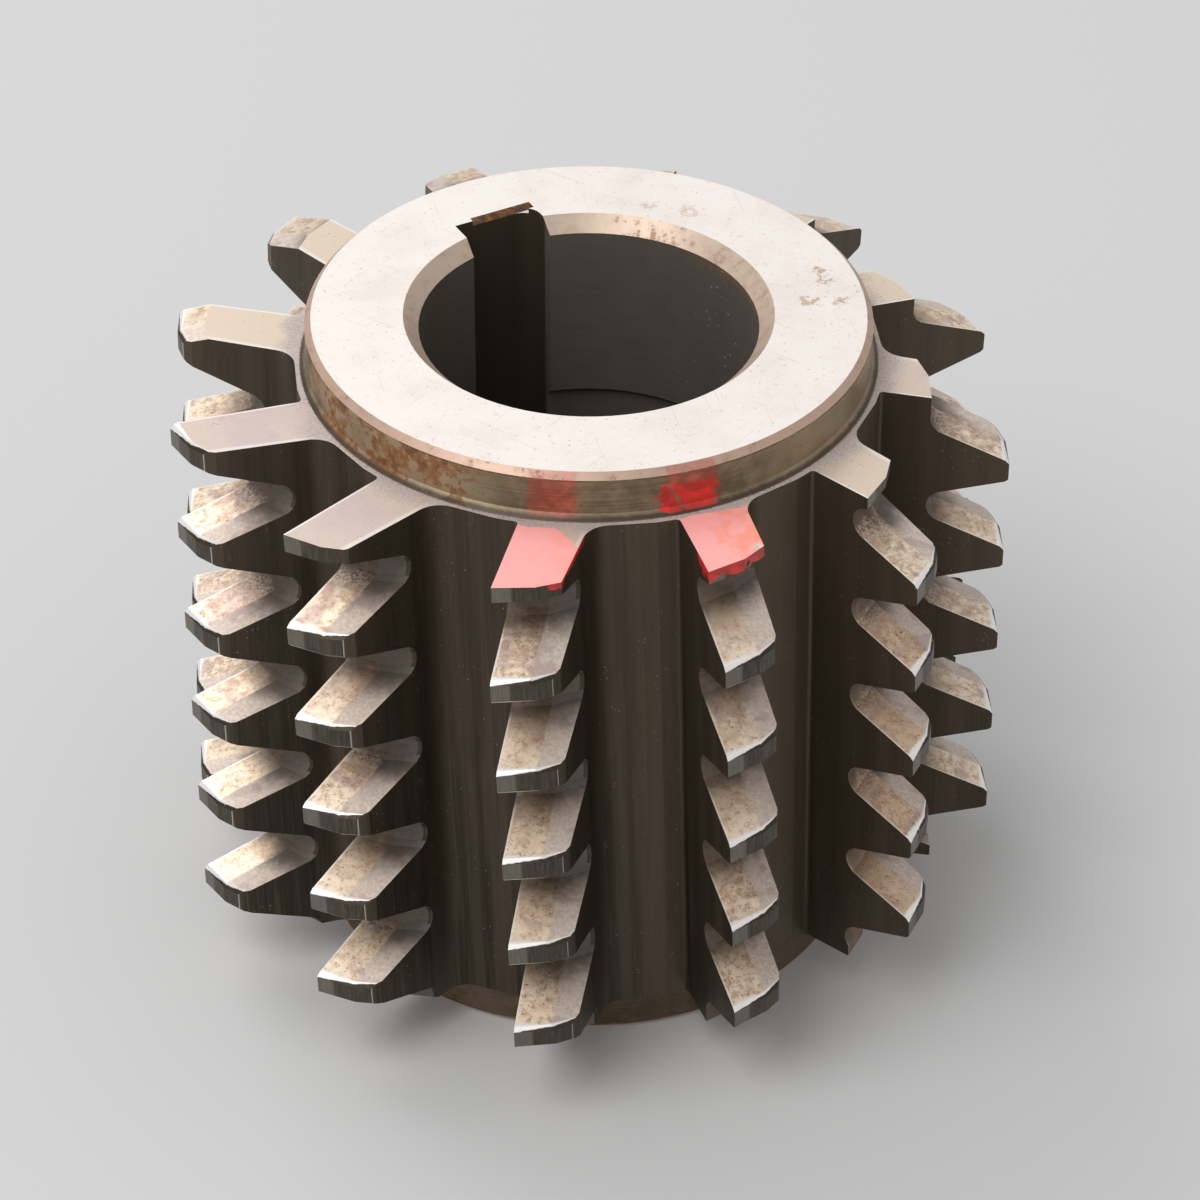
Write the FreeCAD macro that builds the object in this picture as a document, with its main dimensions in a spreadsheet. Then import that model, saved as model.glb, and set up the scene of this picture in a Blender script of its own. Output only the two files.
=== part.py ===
"""Gear hob: a single-start relieved milling cutter for gear teeth, in one piece.

Frame: millimetres, +Z up along the axis, origin on the axis in the lower hub face. Azimuths are counted
anticlockwise from +X, seen from above. A row is one comb of teeth between two gashes. In the frame of a row,
u runs outwards along its cutting face, w runs from the cutting face towards the heel, and z is up.
"""
import FreeCAD, Part
import math
import os
import re

import Sketcher
from FreeCAD import Placement, Rotation, Vector

# Driving sizes: name, value and what it is, in millimetres and degrees
SIZES = (
    ("total_length", 56.0, "over both hub faces"),
    ("hub_diameter", 45.0, "collar at each end"),
    ("hub_height", 4.0, "hub face to the end face of the toothed part"),
    ("hub_chamfer", 0.5, "rim of each hub face"),
    ("hub_foot", 0.5, "bevel at the foot of each hub"),
    ("bore_diameter", 27.0, "arbor bore, standard"),
    ("bore_chamfer", 1.2, "mouth of the bore"),
    ("bore_land", 16.5, "length of the ground seat at each end of the bore"),
    ("bore_relief", 0.5, "depth of the recess between the two seats"),
    ("keyway_width", 7.0, "standard for this bore"),
    ("keyway_depth", 2.8, "bore wall to the keyway floor, so 29.8 over the bore"),
    ("keyway_corner", 1.6, "round corner of the keyway"),
    ("keyway_chamfer", 0.45, "edge of the keyway floor on the hub faces"),
    ("keyway_azimuth", 118.5, "middle of the keyway"),
    ("tip_diameter", 68.1, "over the cutting edges"),
    ("tooth_depth", 6.45, "tip to root, at the cutting face"),
    ("tip_width", 1.85, "tooth land at the tip, along the axis"),
    ("tip_bevel", 0.3, "broken corner of each tooth tip"),
    ("root_flats", 5, "flats that stand for the round root of a tooth space"),
    ("pressure_angle", 20.0, "flank to the radial plane"),
    ("axial_pitch", 8.65, "tooth to tooth, also the lead of the single thread"),
    ("thread_start", 4.7, "height of a tooth space of the first row, the others follow the thread"),
    ("thread_end_wall", 0.9, "wall left at the root where the thread runs out in an end face"),
    ("thread_end_growth", 0.11, "growth of that wall for each millimetre outwards"),
    ("gash_count", 12, "gashes, and rows of teeth"),
    ("gash_angle", 2.5, "lean of the gashes at the tip, square to the thread"),
    ("row_azimuth", -101.4, "cutting face of the first row at half height"),
    ("gash_clearance", 1.0, "hub to the corners of the gash floor"),
    ("gash_fillet", 2.2, "gash floor to heel"),
    ("gash_corner", 0.35, "gash floor to cutting face"),
    ("gash_ridge", 4.2, "degrees from the cutting face to the ridge that regrinding left"),
    ("land_top", 4.6, "cutting face to heel, at the tip"),
    ("land_foot", 5.3, "cutting face to heel, at the gash floor"),
    ("ground_width", 3.0, "ground part of the land behind the cutting edge"),
    ("ground_drop", 0.75, "fall of the ground part"),
    ("backed_width", 4.4, "cutting face to the end of the backed-off part"),
    ("backed_drop", 1.6, "fall of the land to the end of the backed-off part"),
    ("heel_bevel", 0.5, "fall of the broken edge at the heel"),
)
PAST = 0.6  # how far a cutting tool runs past what it cuts

doc = FreeCAD.newDocument("gear_hob")
sheet = doc.addObject("Spreadsheet::Sheet", "Sizes")
for line, (alias, number, note) in enumerate(SIZES, 1):
    sheet.set(f"A{line}", alias)
    sheet.set(f"B{line}", str(number))
    sheet.set(f"C{line}", note)
    sheet.setAlias(f"B{line}", alias)
doc.recompute()


def bound(text):
    """The expression with each size, a word with an underscore, looked up in the sheet."""
    return re.sub(r"\b([a-z]+_[a-z_]+)\b", r"Sizes.\1", text)


def value(text):
    return float(sheet.evalExpression(bound(text)))


def plane(body, role):
    return next(f for f in body.Origin.OriginFeatures if f.Role == role)


def fix(sketch, kind, *where, text):
    """A dimension of the sketch, bound to its expression."""
    number = sketch.addConstraint(Sketcher.Constraint(kind, *where, value(text)))
    sketch.setExpression(f"Constraints[{number}]", bound(text))


def outline(body, name, role, corners):
    """A closed, fully dimensioned sketch. A corner is x, y and perhaps a fillet, each an expression."""
    sketch = body.newObject("Sketcher::SketchObject", name)
    sketch.AttachmentSupport = (plane(body, role), "")
    sketch.MapMode = "FlatFace"
    points = [Vector(value(c[0]), value(c[1]), 0) for c in corners]
    count = len(corners)
    starts, ends, arcs = list(points), list(points), {}
    for i, corner in enumerate(corners):
        if len(corner) < 3:
            continue
        radius = value(corner[2])
        back = (points[i - 1] - points[i]).normalize()
        ahead = (points[(i + 1) % count] - points[i]).normalize()
        half = back.getAngle(ahead) / 2
        ends[i] = points[i] + back * (radius / math.tan(half))
        starts[i] = points[i] + ahead * (radius / math.tan(half))
        centre = points[i] + (back + ahead).normalize() * (radius / math.sin(half))
        left = back.cross(ahead).z > 0
        first, last = (starts[i], ends[i]) if not left else (ends[i], starts[i])
        a0 = math.atan2(first.y - centre.y, first.x - centre.x)
        a1 = math.atan2(last.y - centre.y, last.x - centre.x)
        if (a1 - a0) % (2 * math.pi) > math.pi:
            a0, a1, left = a1, a0, not left
        arcs[i] = (centre, radius, a0, a1, left)
    lines = [sketch.addGeometry(Part.LineSegment(starts[i], ends[(i + 1) % count])) for i in range(count)]
    for i, corner in enumerate(corners):
        before, after = lines[i - 1], lines[i]
        if i not in arcs:
            sketch.addConstraint(Sketcher.Constraint("Coincident", before, 2, after, 1))
            fix(sketch, "DistanceX", -1, 1, after, 1, text=corner[0])
            fix(sketch, "DistanceY", -1, 1, after, 1, text=corner[1])
            continue
        centre, radius, a0, a1, left = arcs[i]
        circle = Part.Circle(centre, Vector(0, 0, 1), radius)
        arc = sketch.addGeometry(Part.ArcOfCircle(circle, a0, a1))
        first, last = (1, 2) if left else (2, 1)
        sketch.addConstraint(Sketcher.Constraint("Tangent", before, 2, arc, first))
        sketch.addConstraint(Sketcher.Constraint("Tangent", after, 1, arc, last))
        fix(sketch, "Radius", arc, text=corner[2])
        point = sketch.addGeometry(Part.Point(points[i]), True)
        sketch.addConstraint(Sketcher.Constraint("PointOnObject", point, 1, before))
        sketch.addConstraint(Sketcher.Constraint("PointOnObject", point, 1, after))
        fix(sketch, "DistanceX", -1, 1, point, 1, text=corner[0])
        fix(sketch, "DistanceY", -1, 1, point, 1, text=corner[1])
    return sketch


def place(sketch, height, azimuth):
    """Moves a plan sketch up the axis and turns it about the axis."""
    sketch.AttachmentOffset = Placement(Vector(0, 0, value(height)), Rotation(Vector(0, 0, 1), value(azimuth)))
    sketch.setExpression("AttachmentOffset.Base.z", bound(height))
    sketch.setExpression("AttachmentOffset.Rotation.Angle", bound(azimuth))


# Turned blank: half section in the plane of X and Z, revolved, with both hubs and the stepped bore
STOCK = f"tip_diameter / 2 + {PAST}"
body = doc.addObject("PartDesign::Body", "Blank")
section = outline(body, "HalfSection", "XZ_Plane", (
    ("bore_diameter / 2 + bore_chamfer", "0"),
    ("hub_diameter / 2 - hub_chamfer", "0"),
    ("hub_diameter / 2", "hub_chamfer"),
    ("hub_diameter / 2", "hub_height - hub_foot"),
    ("hub_diameter / 2 + hub_foot", "hub_height"),
    (STOCK, "hub_height"),
    (STOCK, "total_length - hub_height"),
    ("hub_diameter / 2 + hub_foot", "total_length - hub_height"),
    ("hub_diameter / 2", "total_length - hub_height + hub_foot"),
    ("hub_diameter / 2", "total_length - hub_chamfer"),
    ("hub_diameter / 2 - hub_chamfer", "total_length"),
    ("bore_diameter / 2 + bore_chamfer", "total_length"),
    ("bore_diameter / 2", "total_length - bore_chamfer"),
    ("bore_diameter / 2", "total_length - bore_land"),
    ("bore_diameter / 2 + bore_relief", "total_length - bore_land - bore_relief"),
    ("bore_diameter / 2 + bore_relief", "bore_land + bore_relief"),
    ("bore_diameter / 2", "bore_land"),
    ("bore_diameter / 2", "bore_chamfer"),
))
blank = body.newObject("PartDesign::Revolution", "Turned")
blank.Profile = section
blank.ReferenceAxis = (section, ["V_Axis"])
blank.Angle = 360
doc.recompute()

# Keyway: through the bore, with one sharp and one round corner, and a broken edge at its floor
KEYWAY_FLOOR = "bore_diameter / 2 + keyway_depth"
keyway = outline(body, "KeywayPlan", "XY_Plane", (
    ("0", "keyway_width / 2"),
    ("0", "-keyway_width / 2"),
    (KEYWAY_FLOOR, "-keyway_width / 2", "keyway_corner"),
    (KEYWAY_FLOOR, "keyway_width / 2"),
))
place(keyway, "0", "keyway_azimuth")
slot = body.newObject("PartDesign::Pocket", "Keyway")
slot.Profile = keyway
slot.Type = "ThroughAll"
slot.Reversed = True
doc.recompute()
assert slot.Shape.Volume < blank.Shape.Volume - 100, "the keyway cuts nothing"

# Broken edge of the keyway floor in both hub faces, up to its round corner
for name, face, inside in (("Low", "0", "keyway_chamfer"), ("High", "total_length", "total_length - keyway_chamfer")):
    wedge = outline(body, "KeywayEdge" + name, "XZ_Plane", (
        (f"{KEYWAY_FLOOR} - keyway_chamfer", face),
        (f"{KEYWAY_FLOOR} + keyway_chamfer", face),
        (KEYWAY_FLOOR, inside),
        (f"{KEYWAY_FLOOR} - keyway_chamfer", inside),
    ))
    wedge.AttachmentOffset = Placement(Vector(), Rotation(Vector(0, 1, 0), value("keyway_azimuth")))
    wedge.setExpression("AttachmentOffset.Rotation.Angle", bound("keyway_azimuth"))
    bevel = body.newObject("PartDesign::Pocket", "KeywayBevel" + name)
    bevel.Profile = wedge
    bevel.SideType = "Two sides"
    bevel.setExpression("Length", bound("keyway_width / 2"))
    bevel.setExpression("Length2", bound("keyway_width / 2 - keyway_corner"))
    bevel.Reversed = True
    doc.recompute()

# Gash: a slot between two rows, leaning with the twist, and the two-step fall of the land beside it
TWIST = "tan(gash_angle) / (tip_diameter / 2) * 180 / pi"
STEP = "360 / gash_count"
RIDGE = "360 / gash_count - gash_ridge"
GASH_FLOOR = "(hub_diameter / 2 + gash_clearance)"
OUTSIDE = f"((tip_diameter / 2 + {PAST}) / cos({STEP} / 2) + {PAST})"
GASH = (
    (OUTSIDE, "land_top"),
    (f"sqrt({GASH_FLOOR} ^ 2 - land_foot ^ 2)", "land_foot", "gash_fillet"),
    (f"{GASH_FLOOR} * cos({RIDGE})", f"{GASH_FLOOR} * sin({RIDGE})"),
    (f"{GASH_FLOOR} * cos({STEP})", f"{GASH_FLOOR} * sin({STEP})", "gash_corner"),
    (f"{OUTSIDE} * cos({STEP})", f"{OUTSIDE} * sin({STEP})"),
)
RELIEF = (
    (f"tip_diameter / 2 + {PAST} * ground_drop / ground_width", f"-{PAST}"),
    ("tip_diameter / 2 - ground_drop", "ground_width"),
    ("tip_diameter / 2 - backed_drop", "backed_width"),
    ("tip_diameter / 2 - backed_drop - 2 * heel_bevel", "backed_width + heel_bevel"),
    (f"tip_diameter / 2 + {2 * PAST}", "backed_width + heel_bevel"),
    (f"tip_diameter / 2 + {2 * PAST}", f"-{PAST}"),
)


def gashed(name, corners):
    """A cut of the given plan, from below the toothed part to above it, turning with the gashes."""
    ends = []
    for end, height in (("Low", f"hub_height - {PAST}"), ("High", f"total_length - hub_height + {PAST}")):
        sketch = outline(body, name + end, "XY_Plane", corners)
        place(sketch, height, f"row_azimuth + (total_length / 2 - ({height})) * {TWIST}")
        ends.append(sketch)
    cut = body.newObject("PartDesign::SubtractiveLoft", name)
    cut.Profile = ends[0]
    cut.Sections = [ends[1]]
    cut.Ruled = True
    doc.recompute()
    return cut


before = bevel.Shape.Volume
gash = gashed("Gash", GASH)
land = gashed("LandRelief", RELIEF)
assert land.Shape.Volume < gash.Shape.Volume < before, "a gash or the fall of a land cuts nothing"
gashes = body.newObject("PartDesign::PolarPattern", "Gashes")
gashes.Originals = [gash, land]
gashes.Axis = (plane(body, "Z_Axis"), [""])
gashes.Angle = 360
gashes.Occurrences = int(value("gash_count"))
gashes.setExpression("Occurrences", bound("gash_count"))
body.Tip = gashes
doc.recompute()


# Tooth space: profile at the cutting face, in the plane of u and z
FLANK = "tan(pressure_angle)"
HALF_TOP = "(axial_pitch - tip_width) / 2"
HALF_ROOT = f"({HALF_TOP} - tooth_depth * {FLANK})"
ROOT = "tip_diameter / 2 - tooth_depth"
BEVEL_FOOT = f"({HALF_TOP} - tip_bevel * {FLANK})"
ROOT_RADIUS = f"({HALF_ROOT} / {FLANK} / (1 / sin(pressure_angle) - 1))"
FLATS = int(value("root_flats"))
TURN = f"((180 - 2 * pressure_angle) / {FLATS + 1})"


def root_corner(number):
    """A corner between two flats of the root, which touch the arc that joins both flanks."""
    angle = f"(90 - pressure_angle - ({number} + 0.5) * {TURN})"
    reach = f"{ROOT_RADIUS} / cos({TURN} / 2)"
    return f"{ROOT} + {ROOT_RADIUS} - {reach} * cos({angle})", f"{reach} * sin({angle})"


form = doc.addObject("PartDesign::Body", "ToothForm")
space = outline(form, "ToothSpace", "XZ_Plane", (
    (f"tip_diameter / 2 + {PAST / 2}", f"{BEVEL_FOOT} + tip_bevel + {PAST / 2}"),
    ("tip_diameter / 2 - tip_bevel", BEVEL_FOOT),
    *[root_corner(number) for number in range(FLATS + 1)],
    ("tip_diameter / 2 - tip_bevel", f"-{BEVEL_FOOT}"),
    (f"tip_diameter / 2 + {PAST / 2}", f"-{BEVEL_FOOT} - tip_bevel - {PAST / 2}"),
))
doc.recompute()

# Both steps of the relief, as directions from the cutting face: inwards, towards the heel, up the thread
RISE = value("axial_pitch / pi / (tip_diameter - tooth_depth)")
GROUND = Vector(-value("ground_drop"), value("ground_width"), value("ground_width") * RISE)
BACKED_WIDTH = value("backed_width - ground_width")
BACKED = Vector(-value("backed_drop - ground_drop"), BACKED_WIDTH, BACKED_WIDTH * RISE)
BACKED_OUT = BACKED * ((value("land_foot - ground_width") + PAST) / BACKED_WIDTH)


def relieved(face):
    """The solid that a form tool clears: the face, carried down both steps of the relief past the heel."""
    lead_in = GROUND * (-PAST / GROUND.y)
    ground = face.translated(lead_in).extrude(GROUND - lead_in)
    return ground.fuse(face.translated(GROUND).extrude(BACKED_OUT)).removeSplitter()


def in_row(shape, row, height):
    """The shape lifted to its height and turned into its row, which leans with the gash."""
    twist = value(f"(total_length / 2 - {height}) * {TWIST}")
    azimuth = value(f"row_azimuth + {row} * {STEP}") + twist
    placed = shape.translated(Vector(0, 0, height))
    placed.rotate(Vector(), Vector(0, 0, 1), azimuth)
    return placed


def thread_end(height, up):
    """Clears the thin edge of a thread that runs out in an end face, or nothing where the wall is thick."""
    face_height = value("total_length - hub_height") if up else value("hub_height")
    side = 1 if up else -1
    reach = side * (face_height - height) - value("thread_end_wall")
    flank = reach - value(HALF_ROOT)
    depth = value(ROOT) + max(flank, 0) / (value(FLANK) + value("thread_end_growth"))
    if depth > value("tip_diameter / 2") or reach < -value(HALF_ROOT):
        return None
    past = value("tip_diameter / 2") + PAST
    top = side * (side * (face_height - height) + PAST)
    corners = [Vector(depth, 0, 0), Vector(past, 0, 0), Vector(past, 0, top), Vector(depth, 0, top)]
    return Part.Face(Part.makePolygon(corners + corners[:1]))


form_tool = relieved(Part.Face(space.Shape.Wires))
pitch, low, high = value("axial_pitch"), value("hub_height"), value("total_length - hub_height")
spaces, thread_ends = [], []
for row in range(int(value("gash_count"))):
    first = value("thread_start") + pitch * row / int(value("gash_count"))
    for k in range(math.floor((low - first) / pitch) - 1, math.ceil((high - first) / pitch) + 2):
        height = first + pitch * k
        if low - value(HALF_TOP) < height < high + value(HALF_TOP):
            spaces.append(in_row(form_tool, row, height))
            for up in (True, False):
                face = thread_end(height, up) if abs(height - (high if up else low)) < pitch else None
                if face:
                    thread_ends.append(in_row(relieved(face), row, height))
print("tooth spaces", len(spaces), "thread ends", len(thread_ends))


def cutters(name, solids):
    """All cutters of one kind, which follow the thread round the rows and so fit no pattern."""
    tools = doc.addObject("Part::Feature", name)
    tools.Shape = Part.Compound(solids)
    return tools


teeth = doc.addObject("Part::Cut", "Teeth")
teeth.Base = body
teeth.Tool = cutters("ToothSpaces", spaces)
hob = doc.addObject("Part::Cut", "Hob")
hob.Base = teeth
hob.Tool = cutters("ThreadEnds", thread_ends)
hob.Label = "gear_hob"
doc.recompute()

for item in doc.Objects:
    assert not {"Invalid", "Error"} & set(item.State), f"{item.Name} failed: {item.State}"
shape = hob.Shape
assert not shape.isNull() and shape.isValid() and len(shape.Solids) == 1, "the hob is not one valid solid"
print("hob", round(shape.Volume), "mm3,", len(shape.Faces), "faces, box", shape.BoundBox)
os.makedirs("parts", exist_ok=True)
hob.Shape.exportStep("parts/gear_hob.step")
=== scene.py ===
"""Finishes a gear hob: ground faces, relieved flanks, dark gashes, rust and marking paint."""
import math

import bpy
from bpy.props import FloatProperty, FloatVectorProperty, PointerProperty
from mathutils import Matrix, Vector


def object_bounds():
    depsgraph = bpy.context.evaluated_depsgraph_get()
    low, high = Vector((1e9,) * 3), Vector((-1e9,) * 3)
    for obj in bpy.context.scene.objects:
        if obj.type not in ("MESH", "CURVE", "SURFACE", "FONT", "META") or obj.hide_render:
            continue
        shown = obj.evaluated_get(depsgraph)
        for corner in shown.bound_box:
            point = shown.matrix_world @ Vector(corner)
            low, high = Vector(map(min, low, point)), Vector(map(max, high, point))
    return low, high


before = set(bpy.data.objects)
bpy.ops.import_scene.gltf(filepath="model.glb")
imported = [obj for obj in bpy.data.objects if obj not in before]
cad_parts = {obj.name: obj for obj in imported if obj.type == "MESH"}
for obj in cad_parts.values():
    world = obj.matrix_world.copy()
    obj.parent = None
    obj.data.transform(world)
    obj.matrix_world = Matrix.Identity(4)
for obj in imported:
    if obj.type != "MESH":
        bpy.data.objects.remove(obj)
cad_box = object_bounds()

bl_info = {
    "name": "Gear hob finish",
    "version": (1, 0, 0),
    "blender": (4, 5, 0),
    "location": "View3D > Sidebar > Gear hob",
    "description": "Ground steel, oxide, rust and marking paint for a gear hob, and a plain stage",
    "category": "Object",
}

MM = 0.001
HOB = "gear_hob"
TOTAL_LENGTH = cad_box[1].z / MM
HALF_LENGTH = TOTAL_LENGTH / 2
ROWS = 12
ROW_ANGLE = 360 / ROWS
ROW_MARGIN = 0.02  # how far before its cutting face a row begins, in rows
LAND_TAPER = 0.067  # growth of the land towards the root, for each millimetre
# Tan stains on the upper hub face: x, y and reach, in millimetres
STAINS = ((5.0, 15.9, 1.1), (8.3, 15.1, 1.3), (18.5, 6.1, 0.9),
          (18.9, 4.6, 1.0), (17.5, 1.6, 1.2), (19.9, 1.6, 0.9))
# Sets of scratches on the hub faces: their turn, and how rare they are
SCRATCHES = ((0.6, 0.66), (2.2, 0.67), (1.35, 0.68))
# Sectors round the axis, in degrees
COOL_ENDS_LEFT, COOL_ENDS_RIGHT = (-172, -120), (-25, 5)
# The second rim sector is the right side of the hub's rim, made paler as painted light
RUSTY_RIM, LIT_RIM = (-160, -112), (-58, 20)
STRONG_DAB, FAINT_DABS = (-76.3, -64.9), ((-101.8, -92.4), (-74.8, -64.9))
GAP_IN_DAB = -73.2
# Middles of the part of the bore made lighter as painted light, the dusty and the rusty part, in degrees
# round the axis
LIT_SIDE, DUSTY_SIDE, RUSTY_SIDE = 60, 5, 22
# Rows with a look of their own, counted from the first
FIRST_ROW, SECOND_ROW, DULL_ROW = 0, 1, 2
# How level the slanted faces are, from and to
SLANT = (0.45, 0.86)
# Steps, each from none at its first value to full at its second: how level or upright a face is
FLAT, UPRIGHT = (0.965, 0.985), (0.42, 0.36)
# Steps in how far a face looks along its row's turn, or outwards
CUTTING_FACE, OUTER_FACE = (0.84, 0.88), (0.6, 0.7)
# Steps in rows, and round the axis in degrees
FRONT_ROWS = (1.6, 1.4)
RIGHT_HEELS, RIGHT_FLOORS, NOT_BEHIND = (-90, -65), (-68, -55), (60, 30)
# Steps in depth below the tip, in millimetres
AT_TIP, ABOVE_ROOT = (0.62, 0.55), (5.9, 5.8)
# Steps in distance from the axis, in millimetres
GASH_FLOOR, INSIDE, MOUTH = (25.4, 25.2), (19.0, 18.8), (17.0, 16.0)
KEYWAY_EDGE, KEYWAY_WALL = (15.4, 15.5), (14.25, 14.5)
# Steps in height, in millimetres
LOWER_END, UPPER_HALF, BELOW_TOP_TOOTH = (22, 20), (40, 41), (46, 42)
UPPER_THIRD = (TOTAL_LENGTH * 0.7, TOTAL_LENGTH * 0.72)
# The stage, in metres
FLOOR_HALF, FLOOR_ROUGHNESS = 3.0, 0.9
LAMP_SIZE = 0.6
MAIN_LAMP, BACK_LAMP = (-0.35, -0.35, 0.80), (-0.42, 0.55, 0.72)
CAMERA_PLACE = (-0.000792, -0.290475, 0.245390)
CLIP_START, CLIP_END = 0.01, 20
SENSOR_WIDTH = 36  # millimetres


def length(name, text, millimetres):
    return FloatProperty(name=name, description=text, default=millimetres * MM, min=0, precision=5,
                         unit="LENGTH")


def angle(name, text, degrees):
    return FloatProperty(name=name, description=text, default=math.radians(degrees), unit="ROTATION")


def power(name, text, watts):
    return FloatProperty(name=name, description=text, default=watts, min=0, unit="POWER")


def colour(name, text, *default):
    return FloatVectorProperty(name=name, description=text, default=default, min=0, max=1, subtype="COLOR")


class HobForm(bpy.types.PropertyGroup):
    """Where the hob's faces are, so that each gets its own finish."""

    hub_radius: length("Hub radius", "Collar at each end", 22.5)
    hub_height: length("Hub height", "Hub face to the end face of the toothed part", 4.0)
    tip_radius: length("Tip radius", "Axis to the cutting edges", 34.05)
    axial_pitch: length("Axial pitch", "Tooth to tooth, the lead of the single thread", 8.65)
    thread_start: length("Thread start", "Height of a tooth space of the first row", 4.7)
    ground_width: length("Ground width", "Ground part of the land behind the cutting edge", 3.0)
    ground_drop: length("Ground drop", "Fall of the ground part", 0.75)
    backed_width: length("Backed-off width", "Cutting face to the end of the backed-off part", 4.4)
    backed_drop: length("Backed-off drop", "Fall of the land to the end of the backed-off part", 1.6)
    tip_bevel: length("Tip bevel", "Broken corner of each tooth tip", 0.3)
    row_azimuth: angle("Row azimuth", "Cutting face of the first row at half height", -101.4)
    gash_lean: angle("Gash lean", "Lean of the gashes at the tip", 2.5)
    thread_rise: angle("Thread rise", "Lead angle of the thread", 2.557)


class HobSteel(bpy.types.PropertyGroup):
    """Colours of the bare steel, some of them also carrying painted light and highlights."""

    hub_face: colour("Hub face", "Ground hub faces", 0.95, 0.885, 0.835)
    hub_shade: colour("Hub face in shade", "Duller parts of the hub faces", 0.78, 0.70, 0.64)
    end_face: colour("End face", "Turned end faces of the toothed part", 0.45, 0.38, 0.34)
    end_grain: colour("End grain", "Brighter grain of the end faces", 0.74, 0.65, 0.61)
    end_warm: colour("Warm tooth end", "Ground ends of teeth, cream", 0.80, 0.66, 0.52)
    end_cool: colour("Cool tooth end", "Ground ends of teeth, with a violet cast", 0.66, 0.53, 0.50)
    flank: colour("Ground flank", "Relief-ground part of a flank", 0.58, 0.445, 0.325)
    # Bright flank: cleaner parts, and the painted light towards the tooth tip
    flank_bright: colour("Bright flank", "Cleaner parts of a ground flank", 0.92, 0.77, 0.61)
    backed: colour("Backed-off flank", "Milled part of a flank towards the heel", 0.57, 0.47, 0.40)
    backed_bright: colour("Bright backed-off flank", "Cleaner parts of a milled flank", 0.83, 0.72, 0.64)
    land: colour("Tooth land", "Outer face of a tooth", 0.050, 0.037, 0.026)
    land_bright: colour("Bright tooth land", "Fine lines of the outer faces", 0.20, 0.185, 0.155)
    # Bright edge: worn metal, and the painted highlight on the tooth tips and edges
    edge: colour("Bright edge", "Worn corner of a tooth tip", 0.96, 0.93, 0.90)
    hub_side: colour("Hub side", "Turned rim of the collars", 0.132, 0.093, 0.048)
    hub_side_bright: colour("Bright hub side", "Worn lines of the rims", 0.270, 0.195, 0.120)
    # Warm hub side: paler parts of the rims, and the painted light on the right side and along the top
    hub_side_warm_and_lit: colour("Warm hub side", "Paler, pinker parts of the rims", 0.40, 0.295, 0.190)
    rim: colour("Rims", "Rims of the hub faces", 0.56, 0.385, 0.295)
    rim_dull: colour("Dull rims", "Browner parts of the rims", 0.44, 0.30, 0.22)
    mouth: colour("Mouths of the bore", "Tan of the bevels of the bore", 0.60, 0.48, 0.38)
    bore: colour("Bore", "Wall of the bore", 0.085, 0.070, 0.058)
    # Bright bore: cleaner parts, and the painted lit side of the bore
    bore_bright: colour("Bright bore", "Cleaner parts of the bore", 0.21, 0.180, 0.150)
    keyway: colour("Keyway", "Walls of the keyway", 0.070, 0.052, 0.036)


class HobWear(bpy.types.PropertyGroup):
    """Colours of what lies on the steel, some of them also carrying painted light and shade."""

    oxide: colour("Oxide", "Dark skin in the gashes", 0.029, 0.021, 0.013)
    oxide_worn: colour("Worn oxide", "Browner, thinner skin", 0.075, 0.054, 0.035)
    # Oxide lines: grinding lines, and also the painted light on the gashes on the right
    oxide_line_and_light: colour("Oxide lines", "Grinding lines that show through", 0.125, 0.094, 0.063)
    # Grime: dried oil and dirt spots, and also painted shade in the flank roots and at the foot of the
    # hubs, and darkening towards the lower end
    grime_and_shade: colour("Grime", "Dried oil in the corners", 0.040, 0.028, 0.018)
    pit: colour("Pits", "Small brown pits in the flanks", 0.110, 0.060, 0.032)
    crust: colour("Crust", "Fine chips dried on in the roots", 0.66, 0.52, 0.40)
    violet: colour("Violet tint", "Heat tint on some flanks", 0.40, 0.27, 0.27)
    rust: colour("Rust", "Orange rust of the hub rim", 0.27, 0.110, 0.028)
    rust_dark: colour("Dark rust", "Old brown rust", 0.080, 0.042, 0.022)
    stain: colour("Stain", "Faint tan marks on ground faces", 0.47, 0.285, 0.165)
    paint: colour("Marking paint", "Thick paint", 0.80, 0.030, 0.018)
    paint_dark: colour("Dark paint", "Paint in its thickest parts", 0.42, 0.020, 0.014)
    paint_thin: colour("Pink paint", "Paint on the tooth ends", 0.97, 0.42, 0.40)
    paint_warm: colour("Warm paint", "Thicker streaks on the tooth ends", 0.97, 0.33, 0.24)


class HobStage(bpy.types.PropertyGroup):
    """The floor, the light and the camera."""

    floor: colour("Floor", "Plain pale floor", 0.62, 0.62, 0.62)
    lamp: power("Main lamp", "Soft lamp in front, above on the left", 3.7)
    fill: power("Back lamp", "Soft lamp behind, for the shine of the hub", 2.5)
    sky: FloatProperty(name="World", description="Strength of the grey world", default=0.60, min=0)
    lens: length("Lens", "Focal length of the camera", 131.36)
    pitch: angle("Camera pitch", "Camera's fall below level", 36.877)
    yaw: angle("Camera yaw", "Camera's turn to the right", 0.346)
    roll: angle("Camera roll", "Camera's turn about its own axis", 0.218)


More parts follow.
